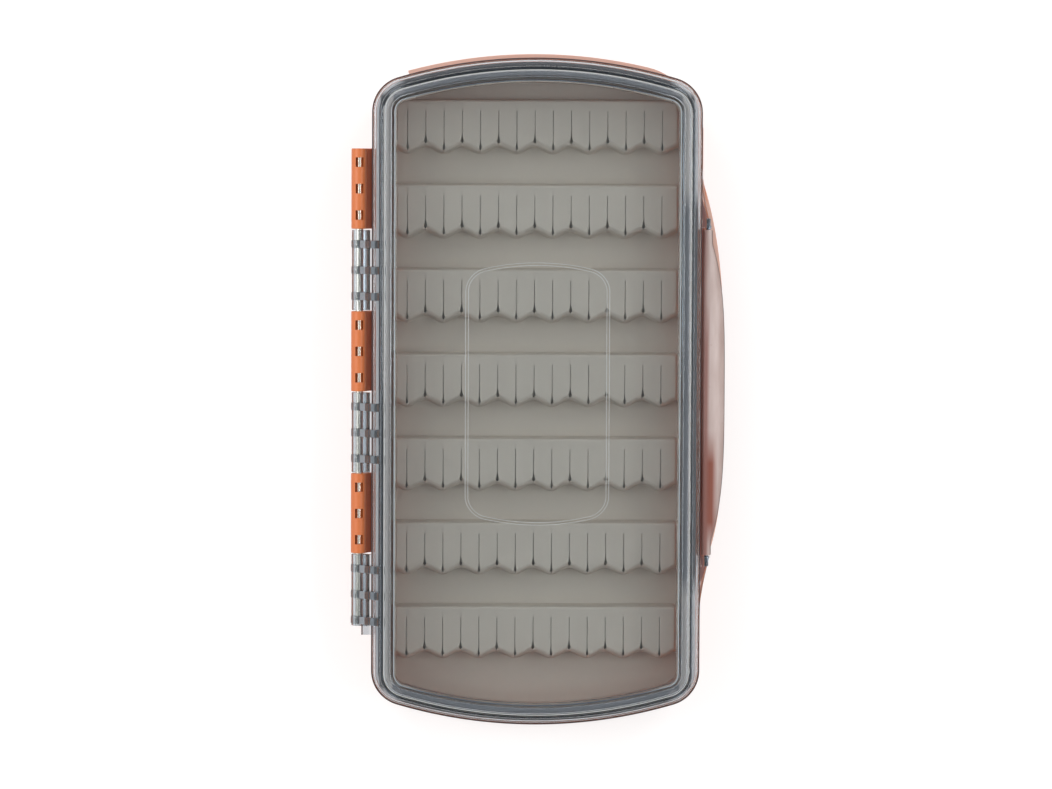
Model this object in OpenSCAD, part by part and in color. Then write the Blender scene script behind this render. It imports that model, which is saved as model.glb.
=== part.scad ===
// Pocket fly box: an opaque tray with a slotted silicone mat, a clear hinged lid
// with a raised window, and a clear bow-shaped latch on the side opposite the hinge.
// Millimetres. X runs from the hinge (-X) to the latch (+X), Y along the case, Z up.
// The origin is the centre of the tray's underside.

/* [Case outline] */
// Width of the lid over its straight sides
case_w = 88.8; // [80:0.2:110]
// Length of the lid over the crowns of its bowed ends
case_l = 180; // [170:1:220]
// Radius of the four corners in plan
corner_r = 9.6; // [8.6:0.1:14]
// Radius of the bowed ends in plan
end_bow_r = 132; // [110:1:200]

/* [Tray] */
// Height of the tray to its parting face
tray_h = 19; // [17:0.5:30]
// How far the tray wall stands inside the lid's outline
tray_inset = 1; // [0.6:0.1:1.4]
// Thickness of the tray wall
tray_wall = 2; // [1.8:0.1:2.4]
// Thickness of the tray floor
tray_floor = 2.2; // [1.6:0.1:4]
// How far the rim flange stands outside the lid's outline
rim_out = 0.25; // [0.2:0.05:0.8]
// Height of the rim flange
rim_h = 3.4; // [2:0.1:4.5]
// Width of the sealing tongue on the rim
tongue_w = 1; // [0.8:0.1:1.2]
// Height of the sealing tongue above the rim
tongue_h = 1.2; // [0.8:0.1:1.4]

/* [End bumpers] */
// How far each end bumper stands outside the lid's outline
bumper_out = 1.2; // [1:0.1:3]
// Height of each end bumper
bumper_h = 8; // [4:0.5:9]
// Height of the underside of each end bumper above the rest face
bumper_z = 5.5; // [2:0.5:6.5]
// Half of the width that each end bumper covers
bumper_half_w = 35.4; // [20:0.2:36]
// How far each end bumper reaches back from the crown of the end
bumper_run = 9; // [7:0.5:14]

/* [Finger ledge] */
// How far the finger ledge under the latch stands outside the lid's outline
ledge_out = 6.9; // [6.4:0.1:9]
// Half of the ledge's length
ledge_half_l = 61; // [54:1:68]
// How square the ledge's bow is, from 2 for a plain curve
ledge_power = 4; // [2:1:6]
// Height of the ledge's underside above the rest face
ledge_z = 8; // [4:0.5:9]
// Thickness of the ledge
ledge_t = 4.4; // [3:0.1:4.6]

/* [Lid] */
// Gap between the closed lid and the tray's rim
parting_gap = 0.3; // [0.2:0.05:0.5]
// Height of the lid's skirt
skirt_h = 3; // [2.8:0.1:4]
// Height of the narrower lip on top of the skirt
lip_h = 0.7; // [0.4:0.1:1.2]
// How far the lip stands inside the lid's outline
lip_inset = 0.6; // [0.3:0.1:1.2]
// Height of the dome above the lip, up to its rim
dome_h = 6; // [4:0.1:12]
// How far the dome's wall stands inside the lid's outline
dome_inset = 2.2; // [2:0.1:2.6]
// How far the dome's rounded shoulder steps in once more
shoulder_inset = 0.7; // [0.3:0.1:1]
// Height of that shoulder step
shoulder_h = 0.8; // [0.4:0.1:1.4]
// Thickness of the dome's wall
lid_wall = 1.25; // [1.1:0.05:1.6]
// Thickness of the dome's rim over the channel inside it
channel_t = 1.7; // [1.4:0.1:2.2]
// Width of the foot that closes the gasket groove on the inside
foot_w = 0.7; // [0.6:0.05:1]
// Height of that foot
foot_h = 3.2; // [3.2:0.1:4]
// Height of the inner rib's lower edge above the lid's lower face
rib_up = 1.3; // [1:0.1:3]
// How far the groove round the window lies inside the lid's outline
window_groove_inset = 5.15; // [4.9:0.05:5.6]
// Width of the groove round the window
window_groove_w = 0.9; // [0.6:0.1:1.4]
// Depth of the groove round the window
window_groove_d = 0.7; // [0.3:0.1:0.8]
// Height of the raised window above the dome's rim
window_h = 0.8; // [0.4:0.1:1.5]
// Thickness of the window
window_t = 2.2; // [2.1:0.1:3]

/* [Frame line on the window] */
// Width of the plain raised frame line
frame_w = 39.8; // [30:0.2:60]
// Length of the plain raised frame line
frame_l = 70.4; // [50:0.2:110]
// Corner radius of the frame line
frame_corner_r = 5; // [3:0.5:12]
// Radius of the bowed ends of the frame line
frame_bow_r = 63; // [40:1:90]
// Width of the raised line
frame_line_w = 0.6; // [0.4:0.1:1.2]
// Height of the raised line
frame_line_h = 0.3; // [0.1:0.05:0.5]

/* [Gasket] */
// How far the gasket groove's outer wall stands inside the lid's outline
groove_inset = 0.8; // [0.7:0.1:1.1]
// Clearance between the tongue and the inner wall of the lid's groove
groove_gap = 0.35; // [0.3:0.05:0.4]
// Depth of the gasket groove in the lid
groove_d = 2.6; // [2.5:0.1:2.7]
// Gap left all round the gasket in its groove
gasket_gap = 0.05; // [0.03:0.01:0.1]
// Gap between the gasket and the tongue below it
gasket_seat = 0.3; // [0.2:0.05:0.4]

/* [Hinge] */
// Distance from the lid's straight side out to the hinge axis
hinge_out = 3.4; // [3.4:0.1:4.4]
// Radius of the knuckles
knuckle_r = 2.2; // [2:0.05:2.3]
// Radius of the hinge pin
pin_r = 1; // [0.8:0.05:1.1]
// Radial clearance of the pin in the tray's knuckles
pin_seat_gap = 0.03; // [0.02:0.01:0.05]
// Radial clearance of the pin in the lid's knuckles
pin_run_gap = 0.06; // [0.04:0.01:0.1]
// Number of knuckle pairs
knuckle_pairs = 3; // [2:1:3]
// Height up the case of the end of the first knuckle, from the middle
hinge_top_y = 65.5; // [60:0.5:70]
// Length of one tray knuckle and one lid knuckle with their gaps
pair_pitch = 43.8; // [40:0.2:44]
// Length of each tray knuckle
tray_knuckle_l = 21.6; // [19:0.2:24]
// End gap between neighbouring knuckles
knuckle_gap = 0.3; // [0.2:0.05:0.6]
// Openings over the pin in each tray knuckle
slots_per_knuckle = 3; // [1:1:3]
// Distance between those openings
slot_pitch = 7.1; // [5:0.1:7.4]
// Width of each opening across the pin
slot_w = 2.05; // [1.6:0.05:2.6]
// Length of each opening along the pin
slot_l = 2.55; // [2:0.05:4]
// Distance between the gussets on each lid knuckle
gusset_pitch = 7; // [5:0.1:8]
// Thickness of each gusset
gusset_t = 2.1; // [1:0.1:2.5]
// How far each gusset's rib stands out round the barrel of the lid's knuckle
gusset_out = 0.15; // [0.1:0.05:0.3]
// How much shorter the last lid knuckle's barrel is
last_barrel_cut = 2.2; // [0:0.1:4]
// Depth of the pin's ends inside the outer knuckles
pin_end_inset = 0.4; // [0.2:0.1:1]

/* [Latch] */
// Distance from the lid's straight side out to the latch's pivot
pivot_out = 1.8; // [1.7:0.1:2.4]
// Height of the latch's pivot above the lid's lower face
pivot_up = 1.6; // [1.5:0.1:1.8]
// Radius of the latch's barrel
barrel_r = 1.4; // [1.05:0.05:1.4]
// How far the latch's bow stands outside the lid's outline
latch_out = 6.8; // [5.6:0.1:7]
// Half of the length over which the latch's bow would reach the lid
latch_bow_half_l = 51.5; // [49:0.5:56]
// How square the latch's bow is, from 2 for a plain curve
latch_power = 3; // [2:1:4]
// Half of the latch's own length
latch_half_l = 44; // [36:0.5:45]
// Thickness of the latch's walls
latch_t = 1.4; // [1.2:0.1:2]
// Gap between the latch and the finger ledge
latch_ledge_gap = 0.5; // [0.3:0.1:1]
// Gap between the latch's catch rib and the tray's rim flange
catch_gap = 0.3; // [0.2:0.05:0.5]
// Height of the catch rib
catch_h = 1.8; // [1:0.1:2.4]
// Half of the catch rib's length
catch_half_l = 30; // [15:1:32]
// Radius of each short latch pin
latch_pin_r = 0.6; // [0.5:0.05:0.65]
// Length of each short latch pin
latch_pin_l = 5.8; // [4.5:0.1:8]
// Width of each of the lid's ears that hold the latch pins
ear_w = 2.6; // [2:0.1:4]
// Gap between an ear and the latch
ear_gap = 0.4; // [0.3:0.05:0.6]
// How far the fairing behind each ear stands outside the lid's outline
fairing_out = 2.7; // [2:0.1:3]
// Length of each fairing, from the ear's face to its thin end
fairing_l = 15.6; // [8:0.1:20]
// How full the fairing's curve is, from 1 for a straight one
fairing_power = 1.8; // [1:0.1:3]

/* [Silicone mat] */
// Gap between the mat and the tray's wall
mat_gap = 0.4; // [0.3:0.05:1]
// Thickness of the mat's base sheet
mat_t = 1.5; // [1:0.1:2.5]
// Height of each ridge above the base sheet
ridge_h = 6; // [4.5:0.1:7]
// Number of ridges
ridges = 7; // [3:1:7]
// Distance between ridges
ridge_pitch = 23; // [19:0.1:24]
// Distance of the middle ridge's straight edge from the middle of the case
ridge_shift = 9.4; // [7:0.1:9.8]
// Depth of a ridge from its straight edge to the tips of its waves
ridge_d = 14.5; // [12:0.1:15]
// Distance from a ridge's ends to the long edges of the mat
ridge_end_gap = 1.2; // [1:0.1:2.4]
// Height of the waves along the front of a ridge
wave_d = 1.8; // [1:0.1:3]
// How round the tips of the waves are, from 1 for pointed tips
wave_power = 2; // [1:0.1:2.5]
// Radius of the corners at a ridge's straight edge
ridge_corner_r = 2; // [1:0.1:3]
// Least distance from a ridge's ends to its outermost slits
slit_end_gap = 3; // [2:0.1:5]
// Distance between slits
slit_pitch = 4.94; // [4.2:0.02:5]
// Width of each slit
slit_w = 0.3; // [0.2:0.05:0.5]
// Distance from the ridge's straight edge to the start of each slit
slit_back = 3; // [2.6:0.1:5]
// Depth of each slit from the top of the ridge
slit_d = 4.5; // [2:0.1:4.5]
// Width of the funnel at the front end of each slit
funnel_w = 0.9; // [0.6:0.1:1.4]
// Length of the funnel at the front end of each slit
funnel_l = 2.7; // [1.5:0.1:4]
// Thickness of the adhesive film under the mat
film_t = 0.3; // [0.15:0.05:0.5]
// How far the film stops short of the mat's edge
film_inset = 0.6; // [0.3:0.1:2]

/* [Hidden] */
$fn = 48;
// Overlap between shapes that are joined or cut
eps = 0.5;
// Steps along each corner and each bowed end of an outline
corner_steps = 8;
bow_steps = 18;
// Steps along the bow of the ledge and the latch, along a fairing and along half a wave
bow_count = 40;
fairing_steps = 12;
wave_steps = 4;
// Smallest corner radius that an inset outline may have
least_corner_r = 1;

hw = case_w / 2;
hl = case_l / 2;

tray_inner = tray_inset + tray_wall;
tongue_outer = tray_inner - tongue_w;
lid_z = tray_h + parting_gap;
skirt_z = lid_z + skirt_h;
lip_z = skirt_z + lip_h;
dome_z = lip_z + dome_h;
window_z = dome_z + window_h;
channel_inset = dome_inset + lid_wall;
channel_z = dome_z - channel_t;
cavity_z = window_z - window_t;
window_inset = window_groove_inset + window_groove_w;

groove_inner = tray_inner + groove_gap;
groove_z = lid_z + groove_d;
foot_inset = groove_inner + foot_w;
foot_z = lid_z + foot_h;
rib_z = lid_z + rib_up;
gasket_z = tray_h + tongue_h + gasket_seat;

hinge_x = -hw - hinge_out;
hinge_z = tray_h + parting_gap / 2;
lid_knuckle_l = pair_pitch - tray_knuckle_l - 2 * knuckle_gap;
hinge_end_y = hinge_top_y - knuckle_pairs * pair_pitch + knuckle_gap;

pivot_x = hw + pivot_out;
pivot_z = lid_z + pivot_up;
latch_top = pivot_z + barrel_r;
latch_z = ledge_z + ledge_t + latch_ledge_gap;
catch_x = hw + rim_out + catch_gap;
ear_y = latch_half_l + ear_gap;
ear_r = barrel_r;
latch_pin_y = ear_y + ear_w - latch_pin_l;

mat_inset = tray_inner + mat_gap;
film_z = tray_floor;
mat_z = film_z + film_t;
ridge_z = mat_z + mat_t;
ridge_half_l = hw - mat_inset - ridge_end_gap;
slits = 2 * floor((ridge_half_l - slit_end_gap) / slit_pitch) + 1;
first_ridge_y = ridge_shift + (ridges - 1) / 2 * ridge_pitch;

// ---------- outlines ----------

function arc(cx, cy, r, from, to, steps) =
    [for (i = [0:steps]) let (a = from + (to - from) * i / steps)
        [cx + r * cos(a), cy + r * sin(a)]];

// Points of a rectangle with round corners and bowed ends, all arcs tangent
function bowed_points(w, l, rc, re) =
    let (cx = w / 2 - rc,
         ey = l / 2 - re,
         a = acos(cx / (re - rc)),
         cy = ey + (re - rc) * sin(a))
    concat(arc(cx, cy, rc, 0, a, corner_steps),
           arc(0, ey, re, a + 1, 179 - a, bow_steps),
           arc(-cx, cy, rc, 180 - a, 180, corner_steps),
           arc(-cx, -cy, rc, 180, 180 + a, corner_steps),
           arc(0, -ey, re, 181 + a, 359 - a, bow_steps),
           arc(cx, -cy, rc, 360 - a, 360, corner_steps));

// The case's outline, moved inwards by d
module outline(d) {
    polygon(bowed_points(case_w - 2 * d, case_l - 2 * d,
                         max(corner_r - d, least_corner_r), end_bow_r - d));
}

module slab(d, z0, z1) {
    translate([0, 0, z0]) linear_extrude(z1 - z0) outline(d);
}

// A ring between two insets of the outline
module ring(d_outer, d_inner, z0, z1) {
    translate([0, 0, z0]) linear_extrude(z1 - z0) difference() {
        outline(d_outer);
        outline(d_inner);
    }
}

// How far a bow stands out at y, full in the middle and nothing at half_l
function bow(y, out, half_l, power) = out * (1 - pow(abs(y) / half_l, power));

// Plan of a bow from x0 outwards, over y from -reach to reach, moved inwards by d
module bow_plan(x0, out, half_l, power, reach, d = 0) {
    polygon(concat([[x0, -reach]],
                   [for (i = [0:bow_count]) let (y = reach * (2 * i / bow_count - 1))
                       [hw - d + bow(y, out, half_l, power), y]],
                   [[x0, reach]]));
}

// A cylinder along Y between two y values
module rod(x, z, r, y0, y1) {
    translate([x, y0, z]) rotate([-90, 0, 0]) cylinder(r = r, h = y1 - y0);
}

// A prism along Y with its section drawn in X and Z
module section(points, y0, y1) {
    translate([0, y1, 0]) rotate([90, 0, 0]) linear_extrude(y1 - y0) polygon(points);
}

module block(x0, x1, y0, y1, z0, z1) {
    translate([x0, y0, z0]) cube([x1 - x0, y1 - y0, z1 - z0]);
}

// ---------- tray ----------

module bumpers() {
    for (side = [0, 1]) mirror([0, side, 0]) intersection() {
        slab(-bumper_out, bumper_z, bumper_z + bumper_h);
        block(-bumper_half_w, bumper_half_w, hl - bumper_run, hl + 2 * bumper_out,
              bumper_z - eps, bumper_z + bumper_h + eps);
    }
}

// One tray knuckle, with its gusset down to the tray's wall
module tray_knuckle(y0, y1) {
    wall_x = -hw + tray_inset + tray_wall / 2;
    rod(hinge_x, hinge_z, knuckle_r, y0, y1);
    section([[hinge_x, hinge_z - knuckle_r],
             [wall_x, hinge_z - 3 * knuckle_r],
             [wall_x, tray_h - rim_h / 2],
             [-hw - rim_out, tray_h - rim_h / 2],
             [hinge_x + knuckle_r, hinge_z],
             [hinge_x, hinge_z]], y0, y1);
}

// The openings over the pin in one tray knuckle
module knuckle_slots(y_mid) {
    for (i = [0:slots_per_knuckle - 1]) {
        y = y_mid + (i - (slots_per_knuckle - 1) / 2) * slot_pitch;
        block(hinge_x - slot_w / 2, hinge_x + slot_w / 2, y - slot_l / 2, y + slot_l / 2,
              hinge_z, hinge_z + knuckle_r + eps);
    }
}

module tray() color("chocolate") {
    difference() {
        union() {
            slab(tray_inset, 0, tray_h);
            slab(-rim_out, tray_h - rim_h, tray_h);
            bumpers();
            translate([0, 0, ledge_z]) linear_extrude(ledge_t)
                bow_plan(hw - tray_inset - tray_wall / 2, ledge_out, ledge_half_l,
                         ledge_power, ledge_half_l);
            for (i = [0:knuckle_pairs - 1]) {
                top = hinge_top_y - i * pair_pitch;
                tray_knuckle(top - tray_knuckle_l, top);
            }
        }
        slab(tray_inner, tray_floor, tray_h + eps);
        rod(hinge_x, hinge_z, pin_r + pin_seat_gap, hinge_end_y - eps, hinge_top_y + eps);
        for (i = [0:knuckle_pairs - 1])
            knuckle_slots(hinge_top_y - i * pair_pitch - tray_knuckle_l / 2);
    }
    ring(tongue_outer, tray_inner, tray_h - tongue_h, tray_h + tongue_h);
}

module hinge_pin() color("silver")
    rod(hinge_x, hinge_z, pin_r, hinge_end_y + last_barrel_cut + pin_end_inset,
        hinge_top_y - pin_end_inset);

// ---------- silicone mat ----------

// Front edge of a ridge at x: tips at every second slit, hollows at the others
function wave(x) =
    -ridge_d + wave_d * pow(abs(sin(90 * (x / slit_pitch + (slits - 1) / 2))), wave_power);

wave_step = slit_pitch / wave_steps;
wave_reach = ceil(ridge_half_l / wave_step) - 1;

module ridge_plan() {
    polygon(concat(
        [[-ridge_half_l, wave(-ridge_half_l)]],
        [for (i = [-wave_reach:wave_reach]) [i * wave_step, wave(i * wave_step)]],
        [[ridge_half_l, wave(ridge_half_l)]],
        arc(ridge_half_l - ridge_corner_r, -ridge_corner_r, ridge_corner_r, 0, 90, 6),
        arc(-ridge_half_l + ridge_corner_r, -ridge_corner_r, ridge_corner_r, 90, 180, 6)));
}

// One slit with its funnel, cut from the front of the ridge
module slit_plan(x) {
    front = wave(x);
    polygon([[x - slit_w / 2, -slit_back],
             [x - slit_w / 2, front + funnel_l],
             [x - funnel_w / 2, front],
             [x - funnel_w / 2, front - eps],
             [x + funnel_w / 2, front - eps],
             [x + funnel_w / 2, front],
             [x + slit_w / 2, front + funnel_l],
             [x + slit_w / 2, -slit_back]]);
}

module ridge() {
    linear_extrude(ridge_h - slit_d) ridge_plan();
    translate([0, 0, ridge_h - slit_d]) linear_extrude(slit_d) difference() {
        ridge_plan();
        for (i = [0:slits - 1]) slit_plan((i - (slits - 1) / 2) * slit_pitch);
    }
}

module silicone_mat() color("darkgray") {
    slab(mat_inset, mat_z, ridge_z);
    for (i = [0:ridges - 1])
        translate([0, first_ridge_y - i * ridge_pitch, ridge_z]) ridge();
}

module mat_adhesive_film() color("gainsboro")
    slab(mat_inset + film_inset, film_z, mat_z);

// ---------- lid ----------

// One lid knuckle with its arm and its three gussets up to the dome
module lid_knuckle(y0, y1) {
    y_mid = (y0 + y1) / 2;
    arm_x = -hw + lip_inset + eps;
    gusset_x = -hw + dome_inset + lid_wall / 2;
    lid_barrel_r = knuckle_r - gusset_out;
    rod(hinge_x, hinge_z, lid_barrel_r, y0, y1);
    block(hinge_x, arm_x, y0, y1, lid_z, hinge_z + lid_barrel_r);
    for (i = [-1, 0, 1]) {
        gusset_y0 = y_mid + i * gusset_pitch - gusset_t / 2;
        gusset_y1 = gusset_y0 + gusset_t;
        rod(hinge_x, hinge_z, knuckle_r, gusset_y0, gusset_y1);
        section([[hinge_x, lid_z],
                 [gusset_x, lid_z + groove_d],
                 [gusset_x, dome_z - shoulder_h],
                 [-hw + dome_inset, dome_z - shoulder_h],
                 [hinge_x - knuckle_r / 5, hinge_z + 0.97 * knuckle_r]],
                gusset_y0, gusset_y1);
    }
}

// The two ears at the latch's ends, with the fairings that run out behind them
module latch_ears() {
    root_x = hw - lip_inset - eps;
    for (side = [0, 1]) mirror([0, side, 0]) {
        rod(pivot_x, pivot_z, ear_r, ear_y, ear_y + ear_w);
        block(root_x, pivot_x, ear_y, ear_y + ear_w, lid_z, pivot_z + ear_r);
        translate([0, 0, lid_z]) linear_extrude(pivot_z + ear_r - lid_z)
            polygon(concat([[root_x, ear_y]],
                           [for (i = [0:fairing_steps]) let (t = i / fairing_steps)
                               [hw + fairing_out * (1 - pow(t, fairing_power)),
                                ear_y + fairing_l * t]],
                           [[root_x, ear_y + fairing_l]]));
    }
}

module window_frame_line() {
    translate([0, 0, window_z - frame_line_h]) linear_extrude(2 * frame_line_h) difference() {
        polygon(bowed_points(frame_w, frame_l, frame_corner_r, frame_bow_r));
        polygon(bowed_points(frame_w - 2 * frame_line_w, frame_l - 2 * frame_line_w,
                             frame_corner_r - frame_line_w, frame_bow_r - frame_line_w));
    }
}

module lid_shell() color("lightsteelblue", 0.45)
    difference() {
        union() {
            slab(0, lid_z, skirt_z);
            slab(lip_inset, lid_z, lip_z);
            slab(dome_inset, lid_z, dome_z - shoulder_h);
            slab(dome_inset + shoulder_inset, lid_z, dome_z);
            slab(window_inset, lid_z, window_z);
            window_frame_line();
            for (i = [0:knuckle_pairs - 1]) {
                top = hinge_top_y - i * pair_pitch - tray_knuckle_l - knuckle_gap;
                lid_knuckle(top - lid_knuckle_l, top);
            }
            latch_ears();
        }
        slab(window_inset, lid_z - eps, cavity_z);
        slab(foot_inset, lid_z - eps, rib_z);
        ring(foot_inset, window_groove_inset, lid_z - eps, foot_z + eps);
        ring(channel_inset, window_groove_inset, foot_z, channel_z);
        ring(groove_inset, groove_inner, lid_z - eps, groove_z);
        ring(window_groove_inset, window_inset, dome_z - window_groove_d, window_z + eps);
        rod(hinge_x, hinge_z, pin_r + pin_run_gap, hinge_end_y - eps, hinge_top_y + eps);
        block(hinge_x - knuckle_r - eps, hinge_x + knuckle_r, hinge_end_y - eps,
              hinge_end_y + last_barrel_cut, hinge_z - knuckle_r - eps, window_z);
        for (side = [0, 1]) mirror([0, side, 0])
            rod(pivot_x, pivot_z, latch_pin_r + pin_seat_gap, latch_pin_y, ear_y + ear_w + eps);
    }

module lid_gasket() color("slategray")
    ring(groove_inset + gasket_gap, groove_inner - gasket_gap, gasket_z, groove_z - gasket_gap);

// ---------- latch ----------

module latch_pins() color("silver")
    for (side = [0, 1]) mirror([0, side, 0])
        rod(pivot_x, pivot_z, latch_pin_r, latch_pin_y, latch_pin_y + latch_pin_l);

// Plan of the latch from x0 outwards, over y from -reach to reach, moved inwards by d
module latch_plan(x0, reach, d = 0) {
    bow_plan(x0, latch_out, latch_bow_half_l, latch_power, reach, d);
}

module latch() color("lightsteelblue", 0.45)
    difference() {
        union() {
            rod(pivot_x, pivot_z, barrel_r, -latch_half_l, latch_half_l);
            translate([0, 0, latch_top - latch_t]) linear_extrude(latch_t)
                latch_plan(pivot_x, latch_half_l);
            translate([0, 0, latch_z]) linear_extrude(latch_top - latch_z) difference() {
                latch_plan(pivot_x, latch_half_l);
                latch_plan(pivot_x - eps, latch_half_l + eps, latch_t);
            }
            translate([0, 0, latch_z]) linear_extrude(catch_h)
                latch_plan(catch_x, catch_half_l, latch_t / 2);
        }
        for (side = [0, 1]) mirror([0, side, 0])
            rod(pivot_x, pivot_z, latch_pin_r + pin_run_gap, latch_pin_y - pin_end_inset,
                latch_half_l + eps);
    }

tray();
silicone_mat();
mat_adhesive_film();
hinge_pin();
lid_shell();
lid_gasket();
latch_pins();
latch();
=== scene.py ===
"""Pocket fly box: burnt-orange tray, slotted grey silicone mat, clear smoke lid and latch.

Sizes are in millimetres in the CAD part's own frame (X hinge to latch, Y along the case, Z up)
and are turned into metres by MM.
"""

import math

import bmesh
import bpy
from mathutils import Matrix, Vector


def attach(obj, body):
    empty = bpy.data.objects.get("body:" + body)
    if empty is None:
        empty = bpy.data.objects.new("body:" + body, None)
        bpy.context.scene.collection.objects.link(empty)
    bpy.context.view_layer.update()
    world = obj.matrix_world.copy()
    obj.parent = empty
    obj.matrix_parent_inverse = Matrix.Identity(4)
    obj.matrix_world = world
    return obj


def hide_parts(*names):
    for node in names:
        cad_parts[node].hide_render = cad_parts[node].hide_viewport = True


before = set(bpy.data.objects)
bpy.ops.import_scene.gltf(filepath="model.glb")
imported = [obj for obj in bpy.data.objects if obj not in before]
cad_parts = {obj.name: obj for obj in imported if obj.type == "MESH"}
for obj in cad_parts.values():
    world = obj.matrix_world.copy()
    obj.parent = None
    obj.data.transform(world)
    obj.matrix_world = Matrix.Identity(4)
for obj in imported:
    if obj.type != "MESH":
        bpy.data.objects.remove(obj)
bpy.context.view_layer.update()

MM = 0.001

# ---------- driving sizes ----------

# The case's outline. Swept pieces close with a flat cap at CAP_INSET inside it.
CASE_W, CASE_L = 88.8, 180.0
CORNER_R, BOW_R = 9.6, 132.0
HALF_W, HALF_L = CASE_W / 2, CASE_L / 2
CAP_INSET = 9.0

# Tray. Knuckles and ledge reach WALL_ROOT into its wall.
TRAY_H, LID_Z = 19.0, 19.3
TRAY_INSET, TRAY_INNER, TRAY_FLOOR, WALL_ROOT = 1.0, 3.0, 2.2, 1.0
RIM_OUT, RIM_H = 0.05, 3.4
TONGUE_INSET, TONGUE_H = 2.0, 1.2

# Lid: heights of its steps, of the gasket and its seat, and of foot, channel and rib inside
DOME_Z, WINDOW_Z, CAVITY_Z, GROOVE_Z = 29.0, 29.8, 27.6, 28.3
STEP_Z, SKIRT_Z, SEAT_Z, GASKET_Z = 23.0, 22.2, 21.9, 20.5
FOOT_INSET, FOOT_Z, CHANNEL_Z, RIB_Z = 4.05, 22.5, 27.3, 20.6

# Hinge: pairs of a tray knuckle and a lid knuckle, from the top end downwards
HINGE_X, HINGE_Z = -47.8, 19.15
KNUCKLE_R, LID_BARREL_R = 2.2, 2.05
PIN_R, TRAY_BORE_R, LID_BORE_R, BORE_HALF_L, PIN_SINK = 1.0, 1.03, 1.06, 70, 0.4
HINGE_TOP_Y, PAIR_PITCH, PAIRS = 65.5, 43.8, 3
TRAY_KNUCKLE_L, KNUCKLE_GAP = 21.6, 0.3
LID_KNUCKLE_L = PAIR_PITCH - TRAY_KNUCKLE_L - 2 * KNUCKLE_GAP
ARM_X = -HALF_W + TRAY_INSET + WALL_ROOT
SLOT_W, SLOT_L, SLOT_PITCH, SLOT_CUT_H = 2.05, 2.55, 7.1, 4
GUSSET_PITCH, GUSSET_T, SHOULDER_INSET = 7.0, 2.1, 3.4
TRAY_KNUCKLE_BEVEL, LID_KNUCKLE_BEVEL, GUSSET_BEVEL = 0.22, 0.18, 0.3
LAST_BARREL_CUT, TAIL_L = 2.2, 2.4
TRAY_TOPS = [HINGE_TOP_Y - i * PAIR_PITCH for i in range(PAIRS)]
LID_TOPS = [top - TRAY_KNUCKLE_L - KNUCKLE_GAP for top in TRAY_TOPS]
LAST_BARREL_Y = LID_TOPS[-1] - LID_KNUCKLE_L + LAST_BARREL_CUT
GUSSET_YS = [top - LID_KNUCKLE_L / 2 + k * GUSSET_PITCH for top in LID_TOPS for k in (-1, 0, 1)]

# Latch, its two pins and the lid's ears. Ears and knuckles reach SKIRT_ROOT into the skirt.
PIVOT_X, PIVOT_Z, BARREL_R = 46.2, 20.9, 1.4
LATCH_OUT, LATCH_BOW_L, LATCH_POWER, LATCH_HALF_L = 6.35, 47.2, 3.6, 44.0
LATCH_END_X = PIVOT_X + 1.0
LATCH_SLOPE, LATCH_CROWN, CROWN_W = 0.15, 0.8, 5
LATCH_Z, LATCH_T, LATCH_STEPS = 12.9, 1.3, 80
CATCH_X, CATCH_H, CATCH_HALF_L, CATCH_STEPS = 44.95, 1.8, 30.0, 40
EAR_Y, EAR_W, FAIRING_OUT, FAIRING_END, EAR_STEPS = 44.4, 2.6, 2.7, 60.0, 24
LATCH_PIN_R, LATCH_PIN_Y, LATCH_PIN_L = 0.6, 41.2, 5.8
EAR_FIT, LATCH_FIT = 0.03, 0.06
EDGE_R, EDGE_IN, EDGE_DROP = 0.19, 0.04, 0.2
SKIRT_ROOT = 0.7

# Finger ledge. Each half has its bow's half length and power, its run and its least reach.
LEDGE_OUT, LEDGE_MID_Y, LEDGE_Z, LEDGE_T, LEDGE_STEPS = 6.9, 1.8, 8.0, 4.4, 72
STRIP_OUT, STRIP_END_Y = 0.95, 71.5
LEDGE_TOP = (58.0, 3, STRIP_END_Y - LEDGE_MID_Y, STRIP_OUT)
LEDGE_LOW = (54.0, 4, 55.5, -0.9)

# End bumpers
BUMPER_OUT, BUMPER_Z, BUMPER_H, BUMPER_HALF_W = 1.2, 5.5, 8.0, 35.4
BUMPER_FADE, BUMPER_TURN_DEG, BUMPER_SLOPE = 0.12, 42, 0.5

# Frame line on the lid's window: its outline, the insets of its two edges and its height
FRAME_W, FRAME_L, FRAME_SIDE_BOW = 37.4, 70.4, 1.6
FRAME_PLAN = {"w": FRAME_W, "l": FRAME_L, "rc": 6.0, "rb": 63.0}
FRAME_EDGES, FRAME_H = (0.05, 0.75), 0.18

# Film, mat and the mat's slit ridges
FILM_T, MAT_INSET, MAT_T = 0.3, 3.4, 1.5
MAT_Z = TRAY_FLOOR + FILM_T
SHEET_Z = MAT_Z + MAT_T
RIDGES, RIDGE_PITCH, RIDGE_H, RIDGE_D, RIDGE_HALF_L = 7, 23.0, 6.0, 14.5, 39.8
RIDGE_CORNER_R, RIDGE_END_R, RIDGE_BACK_R = 2.0, 1.6, 0.8
RIDGE_ROOT, RIDGE_SINK, RIDGE_LEAN = 0.6, 0.4, 0.08
FRONT_RUN, FRONT_DROP = 1.9, 2.6
FIRST_RIDGE_Y = 9.9 + 3 * RIDGE_PITCH
SLITS, SLIT_PITCH, SLIT_W, SLIT_BACK, SLIT_SHIFT = 15, 4.94, 0.17, 3.0, -0.35
SLIT_D_BACK, SLIT_D_FRONT, SLIT_D_FACE, SLIT_TAPER = 1.2, 4.5, 0.3, 0.6
FUNNEL_W, FUNNEL_START, FUNNEL_MID, FUNNEL_END = (0.7, 0.9), 3.4, 1.6, 0.9
WAVE_D, WAVE_POWER = 1.8, 2


# ---------- mesh helpers ----------

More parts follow.
